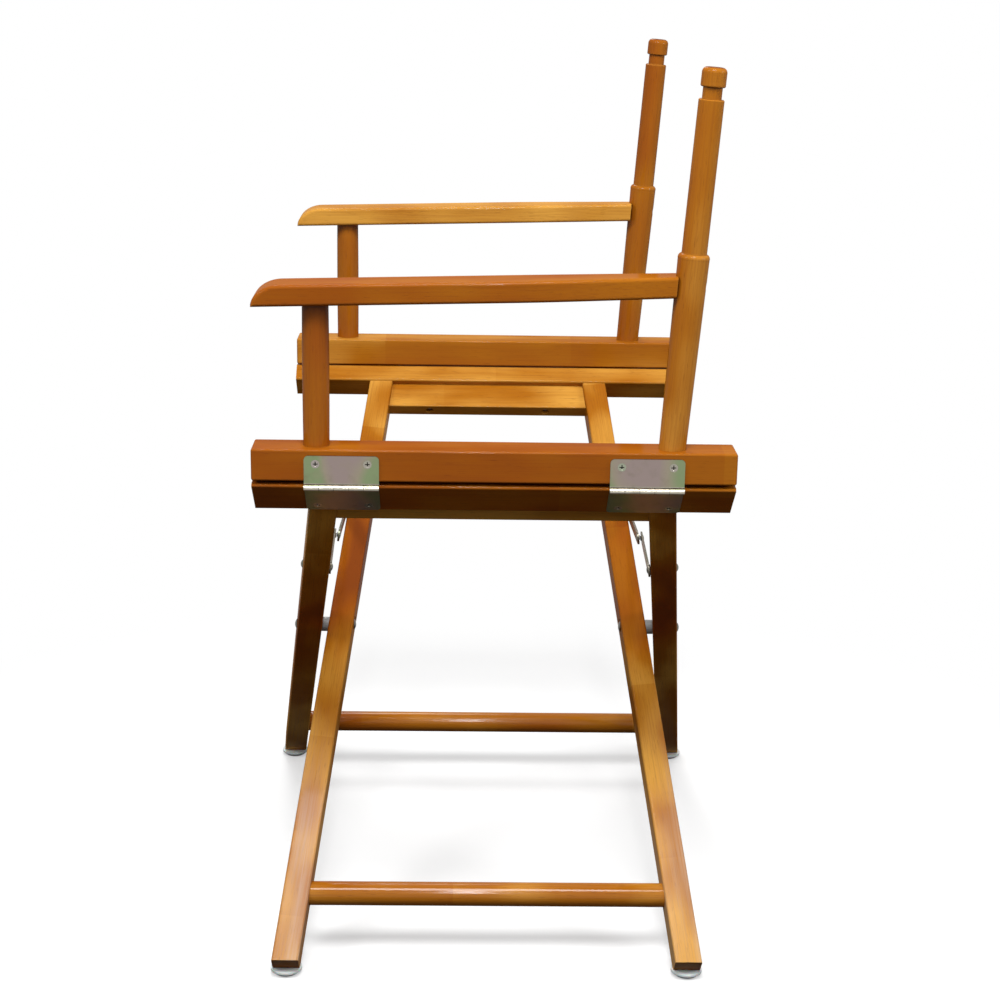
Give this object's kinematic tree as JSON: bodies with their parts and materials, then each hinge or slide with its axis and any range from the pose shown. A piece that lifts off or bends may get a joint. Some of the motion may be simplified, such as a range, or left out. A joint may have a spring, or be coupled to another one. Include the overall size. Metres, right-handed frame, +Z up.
{
  "type": "folding director chair",
  "caption": "Folding wooden director chair frame with crossed legs, hinged armrests, folding braces and turned posts for a back sling.",
  "frame": {"origin": "on the floor, midway between the four feet", "axes": "+Z up, -Y the way the sitter faces, +X to the sitter's left"},
  "size_m": [0.5666, 0.4819, 0.8514],
  "materials": {
    "wood_rail": "satin lacquer",
    "wood_leg": "satin lacquer",
    "wood_turned": "satin lacquer",
    "wood_armrest": "satin lacquer",
    "zinc_hinge": "zinc plated, yellow passivated",
    "zinc_screw": "zinc plated, yellow passivated",
    "pin_steel": "bright",
    "screw_steel": "zinc plated",
    "bolt_steel": "zinc plated",
    "brace_steel": "zinc plated, yellow passivated",
    "spacer_plastic": "moulded",
    "glide_plastic": "moulded, slightly translucent"
  },
  "bodies": {
    "outer_frame": {"outer_leg_front": "wood_leg", "outer_leg_rear": "wood_leg", "outer_stretcher": "wood_turned", "left_lower_rail": "wood_rail", "left_cleat": "wood_leg", "left_cleat_screws": "screw_steel", "left_hinge_lower_leaf_front": "zinc_hinge", "left_hinge_lower_leaf_rear": "zinc_hinge", "left_hinge_pins": "pin_steel", "left_lower_hinge_screws": "zinc_screw", "outer_glide_front": "glide_plastic", "outer_glide_rear": "glide_plastic", "outer_brace_bolts": "bolt_steel", "outer_brace_washers": "bolt_steel", "pivot_bolts": "bolt_steel", "pivot_spacers": "spacer_plastic", "pivot_barrel_nuts": "bolt_steel"},
    "inner_frame": {"inner_leg_front": "wood_leg", "inner_leg_rear": "wood_leg", "inner_stretcher": "wood_turned", "right_lower_rail": "wood_rail", "right_cleat": "wood_leg", "right_cleat_screws": "screw_steel", "right_hinge_lower_leaf_front": "zinc_hinge", "right_hinge_lower_leaf_rear": "zinc_hinge", "right_hinge_pins": "pin_steel", "right_lower_hinge_screws": "zinc_screw", "inner_glide_front": "glide_plastic", "inner_glide_rear": "glide_plastic", "inner_brace_bolts": "bolt_steel", "inner_brace_washers": "bolt_steel"},
    "left_arm": {"left_armrest": "wood_armrest", "left_front_post": "wood_turned", "left_rear_post": "wood_turned", "left_upper_rail": "wood_rail", "left_hinge_upper_leaf_front": "zinc_hinge", "left_hinge_upper_leaf_rear": "zinc_hinge", "left_upper_hinge_screws": "zinc_screw", "left_post_screws": "screw_steel", "left_arm_screw": "screw_steel"},
    "right_arm": {"right_armrest": "wood_armrest", "right_front_post": "wood_turned", "right_rear_post": "wood_turned", "right_upper_rail": "wood_rail", "right_hinge_upper_leaf_front": "zinc_hinge", "right_hinge_upper_leaf_rear": "zinc_hinge", "right_upper_hinge_screws": "zinc_screw", "right_post_screws": "screw_steel", "right_arm_screw": "screw_steel"},
    "front_brace_left": {"front_brace_left_link": "brace_steel", "front_brace_left_rivet": "brace_steel"},
    "front_brace_right": {"front_brace_right_link": "brace_steel", "front_brace_right_rivet": "brace_steel"},
    "rear_brace_left": {"rear_brace_left_link": "brace_steel", "rear_brace_left_rivet": "brace_steel"},
    "rear_brace_right": {"rear_brace_right_link": "brace_steel", "rear_brace_right_rivet": "brace_steel"}
  },
  "joints": [
    {"name": "fold", "type": "hinge", "parent": "outer_frame", "child": "inner_frame", "pos_m": [0, 0, 0.25846], "axis": [0, 1, 0], "range_deg": [0, 89]},
    {"name": "left_arm_swing", "type": "hinge", "parent": "outer_frame", "child": "left_arm", "pos_m": [0.2746, 0, 0.48203], "axis": [0, 1, 0], "range_deg": [0, 225]},
    {"name": "right_arm_swing", "type": "hinge", "parent": "inner_frame", "child": "right_arm", "pos_m": [-0.2746, 0, 0.48203], "axis": [0, -1, 0], "range_deg": [0, 225]},
    {"name": "front_left_link_turn", "type": "hinge", "parent": "outer_frame", "child": "front_brace_left", "pos_m": [0.1085, -0.15855, 0.35616], "axis": [-0.0256, 0.9914, -0.1286], "range_deg": [0, 130]},
    {"name": "front_right_link_turn", "type": "hinge", "parent": "inner_frame", "child": "front_brace_right", "pos_m": [-0.1085, -0.14975, 0.35616], "axis": [-0.0256, -0.9914, 0.1286], "range_deg": [0, 130]},
    {"name": "rear_left_link_turn", "type": "hinge", "parent": "outer_frame", "child": "rear_brace_left", "pos_m": [0.1085, 0.15855, 0.35616], "axis": [0.0256, 0.9914, 0.1286], "range_deg": [0, 130]},
    {"name": "rear_right_link_turn", "type": "hinge", "parent": "inner_frame", "child": "rear_brace_right", "pos_m": [-0.1085, 0.14975, 0.35616], "axis": [0.0256, -0.9914, -0.1286], "range_deg": [0, 130]}
  ],
  "couplings": [
    {"joint": "left_arm_swing", "follows": "fold", "ratio": 2.528},
    {"joint": "right_arm_swing", "follows": "fold", "ratio": 2.528},
    {"joint": "front_left_link_turn", "follows": "fold", "ratio": 1.4583},
    {"joint": "front_right_link_turn", "follows": "fold", "ratio": 1.4583},
    {"joint": "rear_left_link_turn", "follows": "fold", "ratio": 1.4583},
    {"joint": "rear_right_link_turn", "follows": "fold", "ratio": 1.4583}
  ]
}
